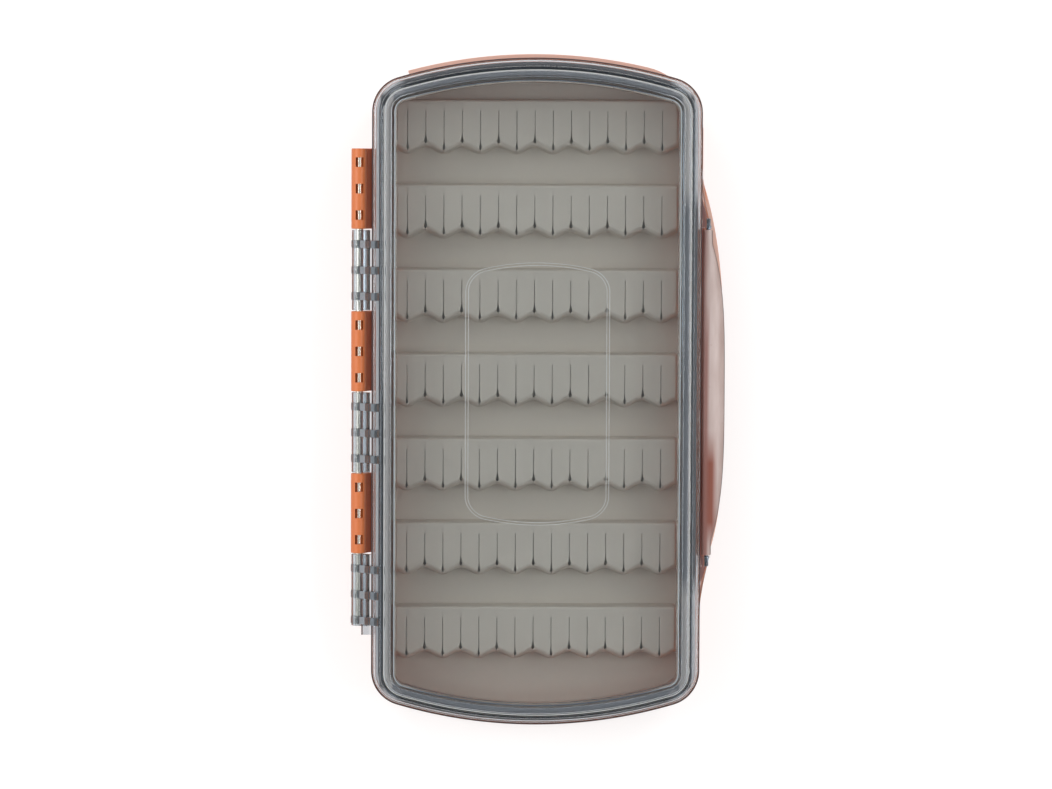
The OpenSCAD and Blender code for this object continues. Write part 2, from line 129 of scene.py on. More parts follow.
BEVEL_STEPS, BEVEL_ANGLE_DEG = 3, 50


def stations(half_l, steps):
    """Even steps from -half_l to half_l."""
    return [half_l * (2 * i / steps - 1) for i in range(steps + 1)]


def bow(y, out, half_l, power):
    """How far a bow of this reach and half length stands out at y from its middle."""
    return out * (1 - (abs(y) / half_l) ** power)


def arc(cx, cy, r, start, end, steps):
    """Points of an arc in radians, both ends included."""
    angles = [start + (end - start) * i / steps for i in range(steps + 1)]
    return [(cx + r * math.cos(a), cy + r * math.sin(a)) for a in angles]


def outline(d, w=CASE_W, l=CASE_L, rc=CORNER_R, rb=BOW_R, corner_steps=16, bow_steps=48):
    """The case's outline moved inwards by d: round corners, bowed ends, straight sides."""
    cx, ey = w / 2 - rc, l / 2 - rb
    a = math.acos(cx / (rb - rc))
    cy = ey + (rb - rc) * math.sin(a)
    step = (math.pi - 2 * a) / bow_steps
    top = arc(cx, cy, rc - d, 0, a, corner_steps)
    top += arc(0, ey, rb - d, a + step, math.pi - a - step, bow_steps - 2)
    top += arc(-cx, cy, rc - d, math.pi - a, math.pi, corner_steps)
    return top + [(-x, -y) for x, y in top]


def filleted(points, steps=5):
    """A polyline of (u, v, r) with each inner corner rounded to radius r."""
    out = [points[0][:2]]
    for before, here, after in zip(points, points[1:], points[2:]):
        p = Vector(here[:2])
        if here[2] <= 0:
            out.append(tuple(p))
            continue
        a, b = Vector(before[:2]) - p, Vector(after[:2]) - p
        half = a.angle(b) / 2
        run = min(here[2] / math.tan(half), 0.49 * a.length, 0.49 * b.length)
        start, end = p + a.normalized() * run, p + b.normalized() * run
        centre = p + (a.normalized() + b.normalized()).normalized() * run / math.cos(half)
        turn = (start - centre).angle_signed(end - centre)
        for i in range(steps + 1):
            t = -turn * i / steps
            v = start - centre
            out.append((centre.x + v.x * math.cos(t) - v.y * math.sin(t),
                        centre.y + v.x * math.sin(t) + v.y * math.cos(t)))
    return out + [points[-1][:2]]


def grid_mesh(name, rings, close_loop=False):
    """A closed mesh from rings of equally many points in mm, joined by quads.

    The last ring joins the first where close_loop is set, or else both get a flat cap.
    """
    bm = bmesh.new()
    verts = [[bm.verts.new((x * MM, y * MM, z * MM)) for x, y, z in ring] for ring in rings]
    n = len(verts[0])
    pairs = list(zip(verts, verts[1:])) + ([(verts[-1], verts[0])] if close_loop else [])
    for r0, r1 in pairs:
        for i in range(n):
            j = (i + 1) % n
            bm.faces.new((r0[i], r0[j], r1[j], r1[i]))
    if not close_loop:
        bm.faces.new(verts[0][::-1])
        bm.faces.new(verts[-1])
    bmesh.ops.recalc_face_normals(bm, faces=bm.faces)
    mesh = bpy.data.meshes.new(name)
    bm.to_mesh(mesh)
    bm.free()
    obj = bpy.data.objects.new(name, mesh)
    bpy.context.scene.collection.objects.link(obj)
    return obj


def sweep(name, profile, closed=False, **plan):
    """A solid whose profile of (inset, height) runs round the outline."""
    rings = [[(x, y, z) for x, y in outline(d, **plan)] for d, z in profile]
    return grid_mesh(name, rings, close_loop=closed)


def prism(name, points, y0, y1, bevel=0.0):
    """A solid along Y with its section drawn in X and Z, its end edges bevelled."""
    rings = [[(x, y, z) for x, z in points] for y in (y0, y1)]
    obj = grid_mesh(name, rings)
    if bevel:
        mod = obj.modifiers.new("bevel", "BEVEL")
        mod.width = bevel * MM
        mod.segments = BEVEL_STEPS
        mod.limit_method = "ANGLE"
        mod.angle_limit = math.radians(BEVEL_ANGLE_DEG)
        apply_modifiers(obj)
    return obj


def rod(name, x, z, r, y0, y1, bevel=0.0, steps=48):
    """A cylinder along Y, with rounded rims where bevel is given."""
    ends = [(y0, r - bevel), (y0 + bevel, r), (y1 - bevel, r), (y1, r - bevel)]
    if not bevel:
        ends = [(y0, r), (y1, r)]
    circle = arc(0, 0, 1, 0, 2 * math.pi, steps)[:-1]
    rings = [[(x + k * c, y, z + k * s) for c, s in circle] for y, k in ends]
    return grid_mesh(name, rings)


def box_solid(name, lo, hi):
    """A plain block between two corners in mm."""
    section = [(lo[0], lo[2]), (hi[0], lo[2]), (hi[0], hi[2]), (lo[0], hi[2])]
    return prism(name, section, lo[1], hi[1])


def apply_modifiers(obj):
    """Makes the modified mesh the object's own mesh."""
    bpy.context.view_layer.update()
    evaluated = obj.evaluated_get(bpy.context.evaluated_depsgraph_get())
    mesh = bpy.data.meshes.new_from_object(evaluated)
    obj.modifiers.clear()
    obj.data = mesh


def combine(obj, others, operation):
    """Unites the others with obj, or cuts them from it, and deletes them."""
    for other in others:
        mod = obj.modifiers.new("combine", "BOOLEAN")
        mod.operation = operation
        mod.solver = "MANIFOLD"
        mod.object = other
    apply_modifiers(obj)
    for other in others:
        bpy.data.objects.remove(other)


def smooth(obj, angle=32):
    """Smooth shading with sharp edges kept, and large flat faces kept flat."""
    obj.data.shade_smooth()
    obj.data.set_sharp_from_angle(angle=math.radians(angle))
    mod = obj.modifiers.new("normals", "WEIGHTED_NORMAL")
    mod.keep_sharp = True
    return obj


def mirrored_y(obj, name):
    """A copy of the object mirrored to the other side of the case's middle."""
    copy = bpy.data.objects.new(name, obj.data.copy())
    bpy.context.scene.collection.objects.link(copy)
    for v in copy.data.vertices:
        v.co.y = -v.co.y
    copy.data.flip_normals()
    return copy


# ---------- materials ----------

# Linear colours. Where there are two, noise mixes them.
WHITE = (1, 1, 1, 1)
ORANGE = ((0.66, 0.165, 0.045, 1), (0.72, 0.20, 0.058, 1))
# Painted light on the orange: a pale highlight on the top bumper and the ledge's outer part, and
# painted shade beside the lid's hinge and beside the latch
ORANGE_PAINTED_HIGHLIGHT = (0.60, 0.37, 0.30, 1)
ORANGE_PAINTED_SHADE_BY_LID = (0.56, 0.26, 0.19, 1)
ORANGE_PAINTED_SHADE_BY_LATCH = (0.27, 0.10, 0.08, 1)
MAT_GREY = ((0.555, 0.47, 0.375, 1), (0.62, 0.53, 0.425, 1))
FILM_WHITE = ((0.66, 0.66, 0.64, 1), (0.74, 0.74, 0.72, 1))
STEEL = ((0.62, 0.58, 0.50, 1), (0.74, 0.70, 0.62, 1))
DARK_STEEL = ((0.10, 0.12, 0.15, 1), (0.18, 0.21, 0.25, 1))
# Gasket and cord: painted light along the sides and round the corners, painted shade at the ends
# and beside the latch
GASKET_LIT_GREY = ((0.58, 0.55, 0.545, 1), (0.68, 0.645, 0.64, 1))
GASKET_SHADED = (0.085, 0.082, 0.088, 1)
CORD_LIT_GREY = ((0.42, 0.37, 0.34, 1), (0.48, 0.43, 0.40, 1))
CORD_SHADED = (0.15, 0.15, 0.16, 1)

# The lid: tint of its smoke and of its shadow, and its tones at the hinge
SMOKE_TINT, LID_DENSITY = (0.12, 0.27, 0.38, 1), 172.0
LID_SHADOW = (0.91, 0.915, 0.92, 1)
HINGE_GREY, GUSSET_GREY = (0.80, 0.81, 0.825, 1), (0.50, 0.52, 0.54, 1)

# The latch: the share and tones of its painted sheen, its painted shade along the barrel, and
# its clear share's
LATCH_PAINTED_SHEEN_SHARE = 0.8
LATCH_PAINTED_SHEEN = ((0.40, 0.28, 0.245, 1), (0.585, 0.465, 0.435, 1))
LATCH_PATCH, LATCH_BARREL_PAINTED_SHADE = (0.25, 0.06, 0.03, 1), (0.33, 0.16, 0.135, 1)
LATCH_CLEAR, LATCH_CLEAR_PATCH = (1, 0.93, 0.9, 1), (0.45, 0.16, 0.1, 1)
LATCH_SHADOW = (0.87, 0.85, 0.84, 1)

# Painted highlight and painted shade lines on thin edges: two tones, and a third, a painted
# shade at the case's ends, or none
BEADS = {
    "pale_highlight_bead": ((0.62, 0.62, 0.60, 1), (0.76, 0.76, 0.74, 1), None),
    "cool_highlight_bead": ((0.46, 0.52, 0.55, 1), (0.56, 0.62, 0.66, 1), (0.13, 0.155, 0.19, 1)),
    "thin_highlight_bead": ((0.56, 0.56, 0.54, 1), (0.70, 0.70, 0.68, 1), None),
    "brown_shade_bead": ((0.09, 0.062, 0.062, 1), (0.13, 0.09, 0.09, 1), None),
    "dark_shade_bead": ((0.045, 0.05, 0.06, 1), (0.07, 0.075, 0.09, 1), None),
    "latch_edge_shade": ((0.10, 0.075, 0.07, 1), (0.15, 0.11, 0.10, 1), None),
}

# Z of the normal where a face begins to look up, and where it fully does
LOOKS_UP = (0.15, 0.6)

# The colour sockets of a Mix node
MIX_FAC, MIX_A, MIX_B, MIX_RESULT = 0, 6, 7, 2


class Nodes:
    """Short calls for the nodes of one node tree."""

    def __init__(self, tree):
        self.tree = tree

    def add(self, kind, **values):
        """A new node, with the sockets named in values set or linked."""
        node = self.tree.nodes.new(kind)
        for key, value in values.items():
            self.put(node, key.replace("_", " "), value)
        return node

    def put(self, node, socket, value):
        """Sets a node's input, or links it where the value is another node's output."""
        if isinstance(value, bpy.types.NodeSocket):
            self.tree.links.new(value, node.inputs[socket])
        else:
            node.inputs[socket].default_value = value

    def math(self, operation, *values):
        """The result of a math node."""
        node = self.tree.nodes.new("ShaderNodeMath")
        node.operation = operation
        for index, value in enumerate(values):
            self.put(node, index, value)
        return node.outputs[0]

    def both(self, a, b):
        """1 where two masks are 1."""
        return self.math("MULTIPLY", a, b)

    def either(self, a, b):
        """1 where at least one of two masks is 1."""
        return self.math("MAXIMUM", a, b)

    def ramp(self, value, start, end):
        """0 where the value is at start, 1 where it is at end."""
        node = self.add("ShaderNodeMapRange", Value=value, From_Min=start, From_Max=end)
        return node.outputs["Result"]

    def spread(self, fac, low, high):
        """Maps a 0 to 1 value to the range from low to high."""
        node = self.add("ShaderNodeMapRange", Value=fac, To_Min=low, To_Max=high)
        return node.outputs["Result"]

    def mix(self, fac, a, b):
        """A colour mixed from a to b."""
        node = self.tree.nodes.new("ShaderNodeMix")
        node.data_type = "RGBA"
        for socket, value in ((MIX_FAC, fac), (MIX_A, a), (MIX_B, b)):
            self.put(node, socket, value)
        return node.outputs[MIX_RESULT]

    def noise(self, scale, detail=3.0, roughness=0.5, stretch=(1, 1, 1)):
        """Noise on the object's own coordinates, with scale in features per metre."""
        place = self.add("ShaderNodeTexCoord")
        mapping = self.add("ShaderNodeMapping", Vector=place.outputs["Object"], Scale=stretch)
        noise = self.add("ShaderNodeTexNoise", Vector=mapping.outputs["Vector"],
                         Scale=scale, Detail=detail, Roughness=roughness)
        return noise.outputs["Fac"]

    def along(self, axis, start, end, both_sides=False):
        """0 at start and 1 at end, in mm along one of the object's own axes."""
        place = self.add("ShaderNodeTexCoord")
        value = self.add("ShaderNodeSeparateXYZ", Vector=place.outputs["Object"]).outputs[axis]
        if both_sides:
            value = self.math("ABSOLUTE", value)
        return self.ramp(value, start * MM, end * MM)

    def band(self, axis, rise, fall):
        """1 on a stretch of one of the object's own axes, between two ramps given in mm."""
        return self.both(self.along(axis, *rise), self.along(axis, *fall))

    def facing_up(self):
        """1 on faces that look up, 0 on walls."""
        normal = self.add("ShaderNodeNewGeometry").outputs["Normal"]
        up = self.add("ShaderNodeSeparateXYZ", Vector=normal).outputs["Z"]
        return self.ramp(up, *LOOKS_UP)

    def bump(self, height, strength, distance):
        """The normal of a surface with this height, with distance in metres."""
        node = self.add("ShaderNodeBump", Height=height, Strength=strength, Distance=distance)
        return node.outputs["Normal"]

    def mix_shaders(self, fac, a, b):
        """A shader mixed from a to b."""
        node = self.add("ShaderNodeMixShader", Fac=fac)
        self.put(node, 1, a)
        self.put(node, 2, b)
        return node.outputs["Shader"]


class Material(Nodes):
    """The nodes of one new material."""

    def __init__(self, name):
        self.material = bpy.data.materials.new(name)
        self.material.use_nodes = True
        super().__init__(self.material.node_tree)
        self.tree.nodes.clear()
        self.out = self.add("ShaderNodeOutputMaterial")

    def principled(self, **values):
        """Makes one principled shader the surface."""
        shader = self.add("ShaderNodeBsdfPrincipled", **values)
        self.put(self.out, "Surface", shader.outputs["BSDF"])

    def lit_through(self, shader, tint):
        """Makes the shader the surface, and lets light fall through it with this tint."""
        clear = self.add("ShaderNodeBsdfTransparent", Color=tint)
        shadow_ray = self.add("ShaderNodeLightPath").outputs["Is Shadow Ray"]
        surface = self.mix_shaders(shadow_ray, shader, clear.outputs["BSDF"])
        self.put(self.out, "Surface", surface)


def smoke_clear():
    """Smoke-tinted clear plastic that darkens along thick edges.

    At the hinge it is hazier and greyer, most so on the gussets.
    """
    n = Material("lid_smoke")
    at_hinge = n.along("X", -HALF_W - 0.2, -HALF_W - 0.8)
    on_gusset = 0.0
    for y in GUSSET_YS:
        low, high = y - GUSSET_T / 2, y + GUSSET_T / 2
        bar = n.band("Y", (low - 0.1, low + 0.1), (high + 0.1, high - 0.1))
        on_gusset = n.either(on_gusset, bar)
    grey = n.mix(on_gusset, HINGE_GREY, GUSSET_GREY)
    haze = n.math("MULTIPLY", at_hinge, 0.17)
    glass = n.add("ShaderNodeBsdfPrincipled",
                  Base_Color=n.mix(at_hinge, WHITE, grey),
                  Transmission_Weight=1.0, IOR=1.55,
                  Roughness=n.math("MAXIMUM", n.spread(n.noise(260, 3), 0.02, 0.03), haze),
                  Normal=n.bump(n.noise(60, 1), 0.01, 0.0002))
    n.lit_through(glass.outputs["BSDF"], LID_SHADOW)
    smoke = n.add("ShaderNodeVolumeAbsorption", Color=SMOKE_TINT, Density=LID_DENSITY)
    n.put(n.out, "Volume", smoke.outputs["Volume"])
    return n.material


def orange_plastic():
    """Satin moulded plastic with a fine spark-eroded grain, and painted highlight and painted
    shade where its edges look up.
    """
    n = Material("orange_plastic")
    tone = n.mix(n.spread(n.noise(45, 4), 0.2, 0.8), *ORANGE)
    bumper_top = BUMPER_Z + BUMPER_H
    on_bumper = n.both(n.along("Y", HALF_L - 9, HALF_L - 8),
                       n.band("Z", (BUMPER_Z + 2, BUMPER_Z + 3),
                              (bumper_top + 0.6, bumper_top + 0.3)))
    painted_highlight = n.either(on_bumper, n.along("X", HALF_W + 1.0, HALF_W + 2.4))
    painted_shade_by_lid = n.band("X", (HINGE_X + 1.2, HINGE_X + 2.2), (1.0 - HALF_W, -HALF_W))
    painted_shade_by_latch = n.band("X", (HALF_W - 0.5, HALF_W), (HALF_W + 1.8, HALF_W + 0.9))
    # Paint the highlight and the two shades onto the faces that look up
    for zone, colour in ((painted_highlight, ORANGE_PAINTED_HIGHLIGHT), (painted_shade_by_lid, ORANGE_PAINTED_SHADE_BY_LID),
                         (painted_shade_by_latch, ORANGE_PAINTED_SHADE_BY_LATCH)):
        tone = n.mix(n.both(zone, n.facing_up()), tone, colour)
    n.principled(Base_Color=tone,
                 Roughness=n.spread(n.noise(900, 3), 0.34, 0.46),
                 Normal=n.bump(n.noise(5200, 2, 0.6), 0.25, 0.00004))
    return n.material


def grey_silicone():
    """Warm grey silicone: matte, slightly mottled, with a fine mould texture."""
    n = Material("grey_silicone")
    n.principled(Base_Color=n.mix(n.spread(n.noise(38, 5), 0.1, 0.9), *MAT_GREY),
                 Roughness=n.spread(n.noise(700, 3), 0.52, 0.68),
                 Normal=n.bump(n.noise(3600, 3), 0.2, 0.00005))
    return n.material


def soft_silicone(name, greys, shaded, side_in):
    """Smoother silicone of the gasket and of the cord in the lid's channel.

    Along the sides, from side_in mm inside the case's, and round the corners it shows its greys
    as painted light.
    At the ends and beside the latch it takes a painted shade.
    """
    n = Material(name)
    tone = n.mix(n.spread(n.noise(60, 4), 0.2, 0.8), *greys)
    corner = n.both(n.along("X", HALF_W - 9, HALF_W - 6, both_sides=True),
                    n.along("Y", HALF_L - 10.5, HALF_L - 9, both_sides=True))
    painted_shade_by_latch = n.both(n.along("X", HALF_W - 9, HALF_W - 8),
                      n.along("Y", 55, 49, both_sides=True))
    side = n.both(n.along("X", HALF_W - side_in, HALF_W - side_in + 0.5, both_sides=True),
                  n.math("SUBTRACT", 1.0, painted_shade_by_latch))
    # Painted light on the sides and corners, painted shade elsewhere
    tone = n.mix(n.either(side, corner), shaded, tone)
    n.principled(Base_Color=tone,
                 Roughness=n.spread(n.noise(800, 2), 0.42, 0.55),
                 Normal=n.bump(n.noise(3000, 2), 0.15, 0.00004))
    return n.material


def latch_painted_sheen():
    """Clear latch plastic over its orange bed: a painted soft pinkish sheen, with painted shade
    along the barrel.

    On a patch below the middle the orange shows through.
    """
    n = Material("latch_painted_sheen")
    streaks = n.noise(380, 2, 0.5, stretch=(1, 0.2, 0.4))
    sheen_tone = n.mix(n.spread(streaks, -0.2, 1.3), *LATCH_PAINTED_SHEEN)
    patch = n.both(n.band("Y", (-10, -19), (-43, -35)),
                   n.along("X", PIVOT_X + 2.9, PIVOT_X + 1.4))
    sheen_tone = n.mix(patch, sheen_tone, LATCH_PATCH)
    # Painted shade along the barrel
    top_half_barrel = n.both(n.along("Y", 12, 24), n.along("X", PIVOT_X - 1.0, PIVOT_X - 0.1))
    clear_of_barrel = n.either(n.along("X", PIVOT_X - 0.3, PIVOT_X + 0.6), top_half_barrel)
    painted_sheen = n.add("ShaderNodeBsdfPrincipled",
                  Base_Color=n.mix(clear_of_barrel, LATCH_BARREL_PAINTED_SHADE, sheen_tone),
                  Roughness=n.spread(n.noise(500, 3), 0.24, 0.36),
                  Specular_IOR_Level=n.spread(patch, 0.5, 0.12),
                  Normal=n.bump(streaks, 0.25, 0.00012))
    glass = n.add("ShaderNodeBsdfPrincipled",
                  Base_Color=n.mix(patch, LATCH_CLEAR, LATCH_CLEAR_PATCH),
                  Transmission_Weight=1.0, IOR=1.5, Roughness=0.25)
    body = n.mix_shaders(LATCH_PAINTED_SHEEN_SHARE, glass.outputs["BSDF"], painted_sheen.outputs["BSDF"])
    n.lit_through(body, LATCH_SHADOW)
    return n.material


def drawn_steel(name, greys):
    """Drawn wire, with fine streaks along Y."""
    n = Material(name)
    streaks = n.noise(1500, 2, 0.5, stretch=(1, 0.02, 1))
    n.principled(Base_Color=n.mix(streaks, *greys), Metallic=1.0,
                 Roughness=n.spread(streaks, 0.2, 0.3),
                 Normal=n.bump(streaks, 0.05, 0.00002))
    return n.material


def painted_line(name):
    """A frosted-looking painted highlight or painted shade line on a thin edge, with the tones
    that BEADS gives it.
    """
    dark, light, at_ends = BEADS[name]
    n = Material(name)
    tone = n.mix(n.noise(900, 3), dark, light)
    if at_ends:
        # the third tone is a painted shade at the case's ends
        tone = n.mix(n.along("Y", HALF_L - 12, HALF_L - 9, both_sides=True), tone, at_ends)
    n.principled(Base_Color=tone, Roughness=n.spread(n.noise(2000, 2), 0.5, 0.7),
                 Transmission_Weight=0.3, IOR=1.45)
    return n.material


def film_plastic():
    """Thin translucent-white adhesive film."""
    n = Material("film_plastic")
    n.principled(Base_Color=n.mix(n.noise(220, 3), *FILM_WHITE),
                 Roughness=n.spread(n.noise(500, 2), 0.3, 0.5))
    return n.material


# ---------- tray ----------


def tray_knuckle(y0, y1):
    """One orange knuckle: a round barrel on a gusset down the tray's wall."""
    shelf = TRAY_H - RIM_H / 2
    barrel = arc(HINGE_X, HINGE_Z, KNUCKLE_R, 0, 1.45 * math.pi, 32)
    arm = [(ARM_X, HINGE_Z - 3 * KNUCKLE_R), (ARM_X, shelf), (-HALF_W - RIM_OUT, shelf)]
    return prism("knuckle", barrel + arm, y0, y1, bevel=TRAY_KNUCKLE_BEVEL)


def ledge():
    """The curved finger ledge under the latch, round-edged, with a longer run-out at its top."""
    inner = HALF_W - TRAY_INSET - WALL_ROOT
    rings = []
    for t in stations(1, LEDGE_STEPS):
        half_l, power, run, least = LEDGE_TOP if t > 0 else LEDGE_LOW
        along = run * t
        outer = HALF_W + max(bow(along, LEDGE_OUT, half_l, power), least)
        section = filleted([(inner, LEDGE_Z, 0), (outer, LEDGE_Z + 0.6, 1.6),
                            (outer, LEDGE_Z + LEDGE_T, 1.1), (inner, LEDGE_Z + LEDGE_T, 0)])
        rings.append([(x, LEDGE_MID_Y + along, z) for x, z in section])
    return grid_mesh("ledge", rings)


def bumper():
    """The round-edged bumper across the top end, fading out round the latch side's corner."""
    turn = math.radians(BUMPER_TURN_DEG)
    top = BUMPER_Z + BUMPER_H
    places = [i for i, (x, y) in enumerate(outline(0))
              if y > 0 and x >= -BUMPER_HALF_W
              and math.atan2(y - HALF_L + CORNER_R, x - HALF_W + CORNER_R) > turn]
    rings = []
    for k, i in enumerate(places):
        fade = 0.05 + 0.95 * math.sin(min(k / len(places) / BUMPER_FADE, 1) * math.pi / 2)
        out = (BUMPER_OUT + TRAY_INSET) * fade - TRAY_INSET
        section = filleted([(2.0, BUMPER_Z, 0), (-out, BUMPER_Z + 0.8, 1.4),
                            (-out, top - BUMPER_SLOPE * (out + TRAY_INSET), 0.4 * fade),
                            (TRAY_INSET, top, 0.2 * fade), (2.0, top, 0)])
        rings.append([outline(d)[i] + (z,) for d, z in section])
    return grid_mesh("bumper", rings)


def make_tray():
    """The tray: body with rim flange and tongue, knuckles, ledge and both bumpers."""
    profile = filleted([(CAP_INSET, 0.0, 0), (TRAY_INSET + 0.3, 0.0, 1.8), (TRAY_INSET, 8.0, 0),
                        (TRAY_INSET, TRAY_H - RIM_H - 0.4, 0.5), (-RIM_OUT, TRAY_H - RIM_H, 0.4),
                        (-RIM_OUT, TRAY_H, 1.0), (TONGUE_INSET, TRAY_H, 0.15),
                        (TONGUE_INSET, TRAY_H + TONGUE_H, 0.3),
                        (TRAY_INNER, TRAY_H + TONGUE_H, 0.3),
                        (TRAY_INNER, TRAY_FLOOR, 0.6), (CAP_INSET, TRAY_FLOOR, 0)])
    obj = sweep("tray_body", profile)
    extras = [tray_knuckle(top - TRAY_KNUCKLE_L, top) for top in TRAY_TOPS]
    one_bumper = bumper()
    extras += [ledge(), one_bumper, mirrored_y(one_bumper, "bumper_back")]
    combine(obj, extras, "UNION")
    cuts = [rod("bore", HINGE_X, HINGE_Z, TRAY_BORE_R, -BORE_HALF_L, BORE_HALF_L)]
    for top in TRAY_TOPS:
        for k in (-1, 0, 1):
            y = top - TRAY_KNUCKLE_L / 2 + k * SLOT_PITCH
            cuts.append(box_solid("slot", (HINGE_X - SLOT_W / 2, y - SLOT_L / 2, HINGE_Z),
                                  (HINGE_X + SLOT_W / 2, y + SLOT_L / 2, HINGE_Z + SLOT_CUT_H)))
    combine(obj, cuts, "DIFFERENCE")
    return smooth(obj)


# ---------- silicone mat ----------


def wave(x):
    """Front edge of a ridge at x, from its straight edge: tips at every second slit."""
    phase = math.pi / 2 * ((x - SLIT_SHIFT) / SLIT_PITCH + (SLITS - 1) / 2)
    return RIDGE_D - WAVE_D * abs(math.sin(phase)) ** WAVE_POWER


def ridge_columns():
    """A ridge's columns as (x, side, deep, slit).

    At a slit's two walls side is -1 or 1, and deep is 1 on its floor.
    """
    run_in = [RIDGE_END_R * (1 - math.cos(math.pi / 16 * i)) for i in range(8)]
    inner = [RIDGE_END_R + 0.6 * i for i in range(5)]
    left = [(d - RIDGE_HALF_L, 0, 0, 0) for d in run_in + inner]
    columns = list(left)
    for i in range(SLITS):
        x = (i - (SLITS - 1) / 2) * SLIT_PITCH + SLIT_SHIFT
        columns += [(x, -1, 0, i), (x, -1, 1, i), (x, 1, 1, i), (x, 1, 0, i)]
        if i < SLITS - 1:
            columns += [(x + SLIT_PITCH * k / 8, 0, 0, i) for k in range(1, 8)]
    return columns + [(-x, 0, 0, 0) for x, _, _, _ in reversed(left)]


def slit_half_width(back, slit):
    """Half of a slit's width, back mm behind the front: it swells to a drop-shaped pit."""
    swell = 0.0
    if FUNNEL_MID <= back < FUNNEL_START:
        swell = ((FUNNEL_START - back) / (FUNNEL_START - FUNNEL_MID)) ** 1.4
    elif FUNNEL_END < back < FUNNEL_MID:
        swell = math.sqrt(1 - ((FUNNEL_MID - back) / (FUNNEL_MID - FUNNEL_END)) ** 2)
    width = SLIT_W if back > FUNNEL_END else SLIT_W / 2
    return (width + (FUNNEL_W[slit % 2] - SLIT_W) * swell) / 2


def ridge_rows():
    """A ridge's rows from back foot to front foot, as (edge, place, height).

    The place is in mm into the ridge, and on the top a fraction of the way to the front.
    """
    rows = [("back", -0.5, -RIDGE_SINK), ("back", -0.2, 0.2), ("back", 0.0, 0.9),
            ("back", RIDGE_LEAN, RIDGE_H - RIDGE_BACK_R)]
    for deg in (22, 45, 68, 90):
        a = math.radians(deg)
        rows.append(("back", RIDGE_LEAN + RIDGE_BACK_R * (1 - math.cos(a)),
                     RIDGE_H - RIDGE_BACK_R * (1 - math.sin(a))))
    rows += [("back", SLIT_BACK - gap, RIDGE_H) for gap in (0.2, 0.02)]
    rows += [("top", t, RIDGE_H) for t in (0.0, 0.2, 0.4, 0.6, 0.74, 0.81, 0.86, 0.91, 0.96)]
    for deg in (0, 6, 11, 16, 21, 26, 34, 43, 52, 61, 70, 78, 85):
        a = math.radians(deg)
        rows.append(("front", FRONT_RUN * (1 - math.sin(a)),
                     RIDGE_H - FRONT_DROP * (1 - math.cos(a))))
    return rows + [("front", -0.1, 0.25), ("front", -0.35, 0.08), ("front", -0.6, -RIDGE_SINK)]


def ridge_point(edge, s, z, x, side, deep, slit):
    """Where a row and a column meet: x, distance from the straight edge and height."""
    depth = wave(x)
    past = abs(x) - (RIDGE_HALF_L - RIDGE_CORNER_R)
    corner = RIDGE_CORNER_R - math.sqrt(RIDGE_CORNER_R ** 2 - max(past, 0) ** 2)
    if edge == "back":
        t = s + corner * max(0, 1 - max(s, 0) / SLIT_BACK)
    elif edge == "top":
        t = SLIT_BACK + (depth - FRONT_RUN - SLIT_BACK) * s
    else:
        t = depth - s
    if side:
        x += side * slit_half_width(depth - t, slit) * (SLIT_TAPER if deep else 1)
        if deep and edge != "back" and depth - t > FUNNEL_END:
            along = (t - SLIT_BACK) / (depth - SLIT_BACK)
            z = min(z, RIDGE_H - SLIT_D_BACK - (SLIT_D_FRONT - SLIT_D_BACK) * along)
        elif deep and edge == "front" and z > 1:
            z -= SLIT_D_FACE
    end = RIDGE_HALF_L - abs(x)
    if end < RIDGE_END_R:
        full = 0.02 + 0.98 * math.sqrt(1 - (1 - end / RIDGE_END_R) ** 2)
        z = (z + RIDGE_SINK) * full - RIDGE_SINK
    return x, t, z


def make_ridge(index):
    """One ridge as a closed solid: rounded back, slit top, wavy front."""
    y0 = FIRST_RIDGE_Y - index * RIDGE_PITCH
    low = SHEET_Z - RIDGE_ROOT
    columns = ridge_columns()
    rings = []
    for edge, s, z in ridge_rows():
        points = [ridge_point(edge, s, z, *column) for column in columns]
        ring = [(x, y0 - t, SHEET_Z + height) for x, t, height in points]
        rings.append([(ring[0][0], ring[0][1], low)] + ring + [(ring[-1][0], ring[-1][1], low)])
    return grid_mesh("ridge", rings)


def make_mat():
    """The mat: a thin sheet with its ridges."""
    sheet = sweep("silicone_mat_body",
                  filleted([(CAP_INSET + 0.2, MAT_Z, 0), (MAT_INSET, MAT_Z, 0.2),
                            (MAT_INSET, SHEET_Z, 0.4), (CAP_INSET + 0.2, SHEET_Z, 0)]))
    combine(sheet, [make_ridge(i) for i in range(RIDGES)], "UNION")
    return smooth(sheet, 40)


# ---------- lid ----------


def lid_knuckle(y0, y1):
    """One clear knuckle, with its solid arm into the lid's skirt."""
    barrel = arc(HINGE_X, HINGE_Z, LID_BARREL_R, math.pi / 2, 1.6 * math.pi, 30)
    arm = -HALF_W + SKIRT_ROOT
    section = barrel + [(-HALF_W - 0.5, LID_Z + 0.1), (arm, LID_Z + 0.1),
                        (arm, HINGE_Z + LID_BARREL_R)]
    return prism("lid_knuckle", section, y0, y1, bevel=LID_KNUCKLE_BEVEL)


def gusset(y):
    """One gusset: a rib round the barrel that rises to the dome."""
    foot = -HALF_W + SHOULDER_INSET
    rib = arc(HINGE_X, HINGE_Z, KNUCKLE_R, 0.57 * math.pi, 1.3 * math.pi, 20)
    section = [(HINGE_X + 0.4, HINGE_Z + 0.4), (foot, HINGE_Z + 0.4), (foot, DOME_Z - 1.0),
               (foot - 0.9, DOME_Z - 1.0)]
    return prism("gusset", section + rib, y - GUSSET_T / 2, y + GUSSET_T / 2,
                 bevel=GUSSET_BEVEL)


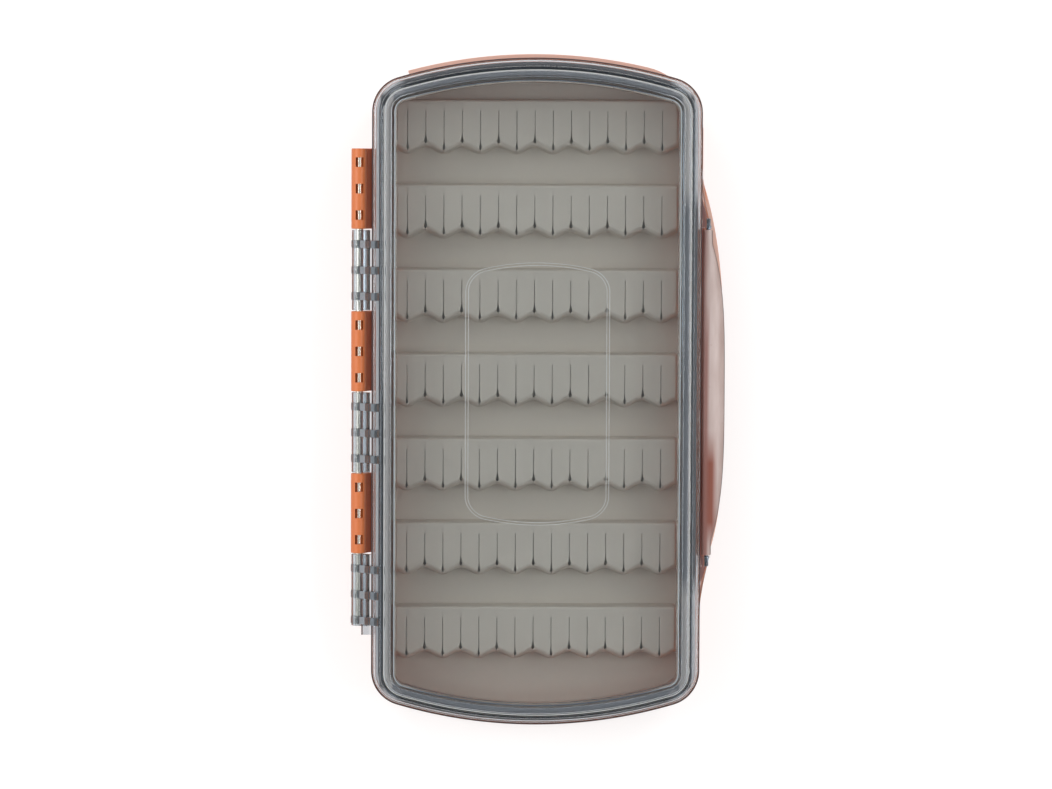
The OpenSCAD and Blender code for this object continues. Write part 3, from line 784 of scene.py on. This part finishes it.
def pin_holes(name, r, near, far):
    """The rods that cut the latch pins' holes at both ends of the pivot."""
    holes = []
    for side in (-1, 1):
        y0, y1 = sorted((side * near, side * far))
        holes.append(rod(name, PIVOT_X, PIVOT_Z, r, y0, y1, steps=24))
    return holes


def ear():
    """The ear at the latch's top end, with its fairing along the skirt."""
    inner = HALF_W - SKIRT_ROOT
    top = PIVOT_Z + BARREL_R
    rings = []
    for i in range(EAR_STEPS + 1):
        t = i / EAR_STEPS
        y = EAR_Y + (FAIRING_END - EAR_Y) * t
        outer = max(HALF_W + FAIRING_OUT * (1 - t) ** 1.5, inner + 0.9)
        section = filleted([(inner, LID_Z + 0.05, 0), (outer, LID_Z + 0.05, 0.8),
                            (outer, top - 0.7 * t, 0.9), (inner, top - 0.5 * t, 0)])
        rings.append([(x, y, z) for x, z in section])
    return grid_mesh("ear", rings)


# The lid's section as inset, height and corner radius: over the top, down the skirt and back
# inside over the gasket's seat, the foot, the channel and the rib.
LID_PROFILE = [
    (CAP_INSET, WINDOW_Z, 0), (6.6, WINDOW_Z, 0.15), (6.1, WINDOW_Z - 0.5, 0.1),
    (6.05, GROOVE_Z, 0.25), (5.2, GROOVE_Z, 0.25), (5.15, DOME_Z, 0.25), (2.25, DOME_Z, 1.2),
    (2.2, STEP_Z, 0.25), (0.6, STEP_Z, 0.3), (0.45, SKIRT_Z + 0.1, 0.1), (0.0, SKIRT_Z, 0.2),
    (0.0, LID_Z, 0.15), (0.8, LID_Z, 0.1), (0.8, SEAT_Z, 0.3), (3.35, SEAT_Z, 0.3),
    (3.35, LID_Z, 0.2), (FOOT_INSET, LID_Z, 0.2), (FOOT_INSET, FOOT_Z, 0.2),
    (3.45, FOOT_Z + 0.1, 0.2), (3.5, CHANNEL_Z, 0.4), (5.1, CHANNEL_Z, 0.4), (5.15, RIB_Z, 0.2),
    (6.05, RIB_Z, 0.2), (6.1, CAVITY_Z, 0.8), (CAP_INSET, CAVITY_Z, 0),
]


def frame_ridge():
    """The raised frame line on the lid's window."""
    outer, inner = FRAME_EDGES
    foot, top = WINDOW_Z - 0.3, WINDOW_Z + FRAME_H
    line = filleted([(outer - 0.05, foot, 0), (outer, top, 0.12), (inner, top, 0.12),
                     (inner + 0.05, foot, 0)], steps=4)
    ridge = sweep("frame_line", line, closed=True, **FRAME_PLAN)
    bow_sides(ridge)
    return ridge


def make_lid():
    """The lid: body, knuckles, gussets, tail below the last knuckle, ears and frame line."""
    obj = sweep("lid_body", filleted(LID_PROFILE))
    extras = []
    for top in LID_TOPS:
        low = LAST_BARREL_Y if top == LID_TOPS[-1] else top - LID_KNUCKLE_L
        extras.append(lid_knuckle(low, top))
    extras += [gusset(y) for y in GUSSET_YS]
    extras.append(box_solid("tail", (HINGE_X + 0.7, LAST_BARREL_Y - TAIL_L, HINGE_Z - 0.3),
                            (-HALF_W + 0.5, LAST_BARREL_Y + 0.3, HINGE_Z + 1.8)))
    one_ear = ear()
    extras += [one_ear, mirrored_y(one_ear, "ear_back"), frame_ridge()]
    combine(obj, extras, "UNION")
    cuts = [rod("bore", HINGE_X, HINGE_Z, LID_BORE_R, -BORE_HALF_L, BORE_HALF_L)]
    cuts += pin_holes("pin_hole", LATCH_PIN_R + EAR_FIT, LATCH_PIN_Y, EAR_Y + EAR_W)
    combine(obj, cuts, "DIFFERENCE")
    return smooth(obj)


def bow_sides(obj):
    """Bows the long sides of the frame line outwards."""
    for vertex in obj.data.vertices:
        along = vertex.co.y / (FRAME_L / 2 * MM)
        vertex.co.x *= 1 + 2 * FRAME_SIDE_BOW / FRAME_W * (1 - along * along)


def make_bead(name, d, z, r, **plan):
    """A thin bead round the lid that carries a painted line, d inside the outline that plan
    gives.
    """
    circle = arc(d, z, r, 0, 2 * math.pi, 8)[:-1]
    return smooth(sweep(name, circle, closed=True, **plan), 60)


def make_channel_cord():
    """The soft cord in the lid's channel, under the dome's rim; its pale tone is painted light
    seen through the rim.
    """
    low, high = CHANNEL_Z - 1.6, CHANNEL_Z - 0.15
    profile = filleted([(4.3, low, 0), (3.65, low, 0.4), (3.65, high, 0.5), (4.98, high, 0.5),
                        (4.98, low, 0.4), (4.35, low, 0)])
    return smooth(sweep("channel_cord", profile, closed=True), 50)


def make_gasket():
    """The soft ring on the lid's seat, just above the tray's tongue."""
    low, high = GASKET_Z, SEAT_Z - 0.05
    profile = filleted([(2.0, low, 0), (1.1, low, 0.3), (1.1, high, 0.3), (3.3, high, 0.3),
                        (3.3, low, 0.3), (2.1, low, 0)])
    return smooth(sweep("lid_gasket_body", profile, closed=True), 50)


# ---------- latch ----------


def latch_outer(y):
    """The x of the latch's outer edge at y."""
    return max(HALF_W + bow(y, LATCH_OUT, LATCH_BOW_L, LATCH_POWER), LATCH_END_X)


def latch_section(y):
    """The latch's section at y: barrel, domed top, outer wall and rolled lower edge."""
    outer = latch_outer(y)
    inner = max(outer - LATCH_T, PIVOT_X + 0.25)
    top, width = PIVOT_Z + BARREL_R, outer - PIVOT_X
    barrel = []
    for dx, dz in arc(0, 0, 1, math.pi / 2, 1.75 * math.pi, 20):
        bulge = 1 + 0.15 * (2 * dx * dz) ** 2 if dz > 0 else 1
        r = BARREL_R * bulge
        barrel.append((PIVOT_X + dx * r, PIVOT_Z + dz * r))
    barrel = [(x, min(z, top)) for x, z in barrel]
    crown = []
    for i in range(1, 13):
        u = math.sin(math.pi / 2 * i / 12.5)
        curve = LATCH_CROWN * (1 - math.sqrt(1 - u * u)) * width / CROWN_W
        crown.append((PIVOT_X + u * width, top - (LATCH_SLOPE * u * width + curve), 0))
    wall = filleted([(barrel[-1][0], barrel[-1][1], 0), (inner, PIVOT_Z - 0.9, 0.8),
                     (inner, LATCH_Z + 0.5, 0.3), (inner + 0.5, LATCH_Z, 0.3),
                     (outer, LATCH_Z, 0.7)] + crown[::-1], steps=5)
    return barrel[:-1] + wall


def catch_section(y):
    """The section at y of the catch rib inside the latch's lower edge."""
    outer = HALF_W + bow(y, LATCH_OUT, LATCH_BOW_L, LATCH_POWER) - LATCH_T / 2
    top = LATCH_Z + CATCH_H
    section = filleted([(outer, LATCH_Z + 0.1, 0), (outer, top, 0), (CATCH_X, top, 0.5),
                        (CATCH_X, LATCH_Z + 0.4, 0.5), (outer, LATCH_Z + 0.1, 0)], steps=3)
    return section[:-1]


def make_latch():
    """The latch: bowed body on its barrel, catch rib and the holes of its pins."""
    obj = grid_mesh("latch_body", [[(x, y, z) for x, z in latch_section(y)]
                                   for y in stations(LATCH_HALF_L, LATCH_STEPS)])
    catch = grid_mesh("catch", [[(x, y, z) for x, z in catch_section(y)]
                                for y in stations(CATCH_HALF_L, CATCH_STEPS)])
    combine(obj, [catch], "UNION")
    holes = pin_holes("hole", LATCH_PIN_R + LATCH_FIT, LATCH_PIN_Y - 0.4, LATCH_HALF_L + 1)
    combine(obj, holes, "DIFFERENCE")
    return smooth(obj)


def make_latch_edge():
    """The painted shade line along the latch's outer edge."""
    rings = []
    for y in stations(LATCH_HALF_L - 0.2, LATCH_STEPS):
        outer = latch_outer(y)
        drop = (LATCH_SLOPE + LATCH_CROWN / CROWN_W) * (outer - PIVOT_X) + EDGE_DROP
        z = PIVOT_Z + BARREL_R - drop
        circle = arc(outer - EDGE_IN, z, EDGE_R, 0, 2 * math.pi, 8)[:-1]
        rings.append([(px, y, pz) for px, pz in circle])
    return smooth(grid_mesh("latch_edge_shade", rings), 60)


# ---------- pins ----------


def make_hinge_pin():
    """The long pin, a little short of the knuckles' outer ends."""
    return smooth(rod("hinge_pin_wire", HINGE_X, HINGE_Z, PIN_R, LAST_BARREL_Y + PIN_SINK,
                      HINGE_TOP_Y - PIN_SINK, bevel=0.2))


def make_latch_pins():
    """The latch's two short pins as one piece."""
    one = rod("latch_pins_wire", PIVOT_X, PIVOT_Z, LATCH_PIN_R, LATCH_PIN_Y,
              LATCH_PIN_Y + LATCH_PIN_L, bevel=0.12, steps=32)
    combine(one, [mirrored_y(one, "pin_back")], "UNION")
    return smooth(one)


# ---------- camera, floor and light ----------

PHOTO_W, PHOTO_H = 1052, 789
MM_PER_PX = 0.2691
LID_PLANE_Z = 24.0
CAMERA_DISTANCE = 1105.0
NADIR_PX = (415, 160)
CENTRE_PX = (536.7, 392.9)
ROLL_DEG = 0.24
SENSOR_MM = 36.0
CLIP_START, CLIP_END = 0.05, 20
FLOOR_HALF, FLOOR_DROP, FLOOR_GLOW = 3.0, 0.0002, 0.62
SKY_LEVELS, SIDE_GLOW = (0.12, 0.55), 0.7
LIGHT_TARGET = (0, 0, 0.02)
LIGHTS = (
    # name, place, width, height, strength
    ("top_left_box", (-0.46, 0.74, 0.62), 0.45, 0.45, 0.20),
    ("top_right_box", (0.52, 0.72, 0.62), 0.45, 0.45, 0.20),
    ("right_box", (0.46, -0.01, 0.72), 0.36, 0.22, 0.20),
    ("left_box", (-0.74, 0.10, 0.70), 0.30, 0.60, 0.26),
)


def photo_to_mm(px, py):
    """The case's x and y in mm at the lid's plane, seen at a pixel of the photograph."""
    return (px - CENTRE_PX[0]) * MM_PER_PX, (CENTRE_PX[1] - py) * MM_PER_PX


def make_camera():
    """The photograph's camera, far above the case and looking a little aslant."""
    data = bpy.data.cameras.new("camera")
    camera = bpy.data.objects.new("camera", data)
    bpy.context.scene.collection.objects.link(camera)
    x, y = photo_to_mm(*NADIR_PX)
    tx, ty = photo_to_mm(PHOTO_W / 2, PHOTO_H / 2)
    place = Vector((x, y, LID_PLANE_Z + CAMERA_DISTANCE))
    target = Vector((tx, ty, LID_PLANE_Z))
    reach = (place - target).length
    data.sensor_width = SENSOR_MM
    data.lens = reach / (PHOTO_W * MM_PER_PX) * SENSOR_MM
    data.clip_start, data.clip_end = CLIP_START, CLIP_END
    camera.location = place * MM
    back = (place - target).normalized()
    side = Vector((0, 1, 0)).cross(back).normalized()
    up = back.cross(side)
    roll = math.radians(ROLL_DEG)
    side, up = (side * math.cos(roll) + up * math.sin(roll),
                up * math.cos(roll) - side * math.sin(roll))
    rotation = [[side[i], up[i], back[i]] for i in range(3)]
    camera.rotation_mode = "QUATERNION"
    camera.rotation_quaternion = Matrix(rotation).to_quaternion()
    bpy.context.scene.camera = camera


def make_floor():
    """A large white sheet under the case, which keeps the case's soft shadow.

    It glows for the rays that show it: camera, mirror and glass rays.
    """
    bm = bmesh.new()
    bmesh.ops.create_grid(bm, x_segments=1, y_segments=1, size=FLOOR_HALF)
    mesh = bpy.data.meshes.new("floor")
    bm.to_mesh(mesh)
    bm.free()
    floor = bpy.data.objects.new("floor", mesh)
    floor.location.z = -FLOOR_DROP
    bpy.context.scene.collection.objects.link(floor)
    n = Material("white_sheet")
    rays = n.add("ShaderNodeLightPath").outputs
    shown = n.either(n.either(rays["Is Camera Ray"], rays["Is Glossy Ray"]),
                     rays["Is Transmission Ray"])
    paper = n.add("ShaderNodeBsdfDiffuse", Color=(0.5, 0.5, 0.5, 1))
    glow = n.add("ShaderNodeEmission", Color=WHITE,
                 Strength=n.math("MULTIPLY", shown, FLOOR_GLOW))
    sheet = n.add("ShaderNodeAddShader")
    n.put(sheet, 0, paper.outputs["BSDF"])
    n.put(sheet, 1, glow.outputs["Emission"])
    n.put(n.out, "Surface", sheet.outputs["Shader"])
    mesh.materials.append(n.material)


def area_light(name, place, width, height, strength):
    """A soft box; strength is the light it gives on a white card at the target."""
    data = bpy.data.lights.new(name, "AREA")
    data.shape = "RECTANGLE"
    data.size, data.size_y = width, height
    place, target = Vector(place), Vector(LIGHT_TARGET)
    reach = (place - target).length
    data.energy = strength * math.pi * math.pi * reach * reach
    lamp = bpy.data.objects.new(name, data)
    lamp.location = place
    lamp.rotation_mode = "QUATERNION"
    lamp.rotation_quaternion = (place - target).to_track_quat("Z", "Y")
    bpy.context.scene.collection.objects.link(lamp)


def make_light():
    """Four soft boxes and a pale world, brightest overhead and at the case's two sides.

    To the camera the world is plain white.
    """
    world = bpy.data.worlds.new("studio")
    bpy.context.scene.world = world
    world.use_nodes = True
    n = Nodes(world.node_tree)
    place = n.add("ShaderNodeTexCoord").outputs["Generated"]
    direction = n.add("ShaderNodeSeparateXYZ", Vector=place).outputs
    sideways = n.math("MULTIPLY", direction["X"], direction["X"])
    sky = n.math("MULTIPLY_ADD", sideways, SIDE_GLOW, n.spread(direction["Z"], *SKY_LEVELS))
    to_camera = n.add("ShaderNodeLightPath").outputs["Is Camera Ray"]
    background = world.node_tree.nodes["Background"]
    n.put(background, "Color", WHITE)
    n.put(background, "Strength", n.math("MAXIMUM", sky, to_camera))
    for light in LIGHTS:
        area_light(*light)


# ---------- assembly ----------


def dress(obj, material, body, node):
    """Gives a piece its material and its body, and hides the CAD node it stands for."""
    obj.data.materials.clear()
    obj.data.materials.append(material)
    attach(obj, body)
    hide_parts(node)


def add_looks(obj, material, body):
    """An extra piece of the looks alone, which rides on a body."""
    obj.data.materials.append(material)
    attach(obj, body)


make_camera()
make_floor()
make_light()

steel = drawn_steel("drawn_steel", STEEL)
dark_steel = drawn_steel("dark_steel", DARK_STEEL)
dress(make_tray(), orange_plastic(), "base", "tray")
dress(make_mat(), grey_silicone(), "base", "silicone_mat")
dress(make_hinge_pin(), steel, "base", "hinge_pin")
dress(make_lid(), smoke_clear(), "lid", "lid_shell")
gasket_soft = soft_silicone("gasket_silicone", GASKET_LIT_GREY, GASKET_SHADED, side_in=2.5)
dress(make_gasket(), gasket_soft, "lid", "lid_gasket")
dress(make_latch_pins(), dark_steel, "lid", "latch_pins")
dress(make_latch(), latch_painted_sheen(), "latch", "latch")

# Painted highlight lines on the frame line's edges, the dome's shoulder and the window's edge;
# painted shade lines along the skirt and in the step
thin_highlight_bead = painted_line("thin_highlight_bead")
for index, inset in enumerate(FRAME_EDGES):
    bead = make_bead(f"frame_bead_{index + 1}", inset, WINDOW_Z + 0.17, 0.09, **FRAME_PLAN)
    bow_sides(bead)
    add_looks(bead, thin_highlight_bead, "lid")
for name, inset, z, r, look in (
        ("shoulder_bead", SHOULDER_INSET, DOME_Z - 0.02, 0.12, "pale_highlight_bead"),
        ("window_bead", 6.15, WINDOW_Z - 0.33, 0.14, "cool_highlight_bead"),
        ("skirt_bead", 0.13, SKIRT_Z + 0.02, 0.17, "brown_shade_bead"),
        ("step_bead", 2.1, STEP_Z + 0.02, 0.2, "dark_shade_bead")):
    add_looks(make_bead(name, inset, z, r), painted_line(look), "lid")
# The cord's pale tone adds painted light under the dome's rim
channel_soft = soft_silicone("channel_silicone", CORD_LIT_GREY, CORD_SHADED, side_in=6.0)
add_looks(make_channel_cord(), channel_soft, "lid")
add_looks(make_latch_edge(), painted_line("latch_edge_shade"), "latch")

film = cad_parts["mat_adhesive_film"]
film.data.materials.clear()
film.data.materials.append(film_plastic())

scene = bpy.context.scene
scene.view_settings.view_transform = "Standard"
